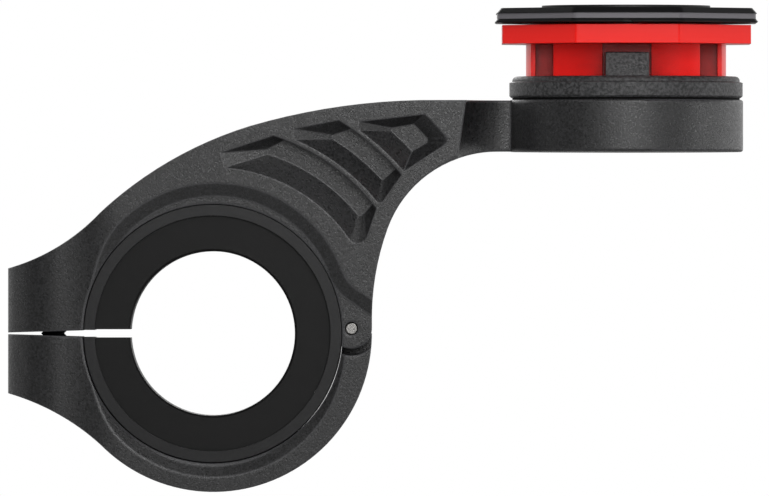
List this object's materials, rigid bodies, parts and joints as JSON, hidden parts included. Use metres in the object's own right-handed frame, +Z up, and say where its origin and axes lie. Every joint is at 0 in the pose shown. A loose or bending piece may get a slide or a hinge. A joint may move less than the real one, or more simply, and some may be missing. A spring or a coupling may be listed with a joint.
{
  "type": "out-front bike mount",
  "caption": "Hinged handlebar clamp with a hollowed arm that carries an octagonal twist-lock head for a phone ahead of the bar.",
  "frame": {"origin": "centre of the bar bore, on its axis and midway between the jaw faces", "axes": "+X forward to the head, +Y along the handlebar, +Z up"},
  "size_m": [0.1014, 0.0356, 0.0657],
  "materials": {
    "black_alloy": "satin black anodised",
    "bright_steel": "bright turned",
    "black_steel": "black oxide",
    "shim_plastic": "moulded satin",
    "shim_rubber": "matt moulded",
    "gasket_rubber": "matt",
    "rough_nylon": "rough grained",
    "dark_alloy": "dark anodised",
    "red_alloy": "red anodised",
    "spring_steel": "drawn wire",
    "cap_alloy": "satin black anodised",
    "disc_plastic": "matt"
  },
  "bodies": {
    "arm": {"arm": "black_alloy", "shim_outer": "shim_plastic", "shim_inner": "shim_rubber", "clamp_insert": "bright_steel", "hinge_pin": "bright_steel", "head_gasket": "gasket_rubber", "head_base": "rough_nylon", "head_core": "dark_alloy", "core_bolt": "black_steel", "core_washer": "black_steel", "cap_plate": "cap_alloy", "cap_disc": "disc_plastic", "cap_screw_1": "black_steel", "cap_screw_2": "black_steel", "cap_screw_3": "black_steel", "cap_screw_4": "black_steel", "sleeve_spring": "spring_steel"},
    "lower_jaw": {"lower_jaw": "black_alloy", "clamp_washer": "black_steel"},
    "clamp_bolt": {"clamp_bolt": "black_steel"},
    "lock_sleeve": {"lock_sleeve": "red_alloy"}
  },
  "joints": [
    {"name": "jaw_hinge", "type": "hinge", "parent": "arm", "child": "lower_jaw", "pos_m": [0.01875, 0, 0.00066], "axis": [0, -1, 0], "range_deg": [0, 60]},
    {"name": "bolt_slide", "type": "slide", "parent": "lower_jaw", "child": "clamp_bolt", "axis": [0, 0, -1], "range_m": [0, 0.006]},
    {"name": "sleeve_slide", "type": "slide", "parent": "arm", "child": "lock_sleeve", "axis": [0, 0, -1], "range_m": [0, 0.0011], "stiffness_N_per_m": 3000, "springref_m": -0.002, "deforming": ["sleeve_spring"]}
  ]
}
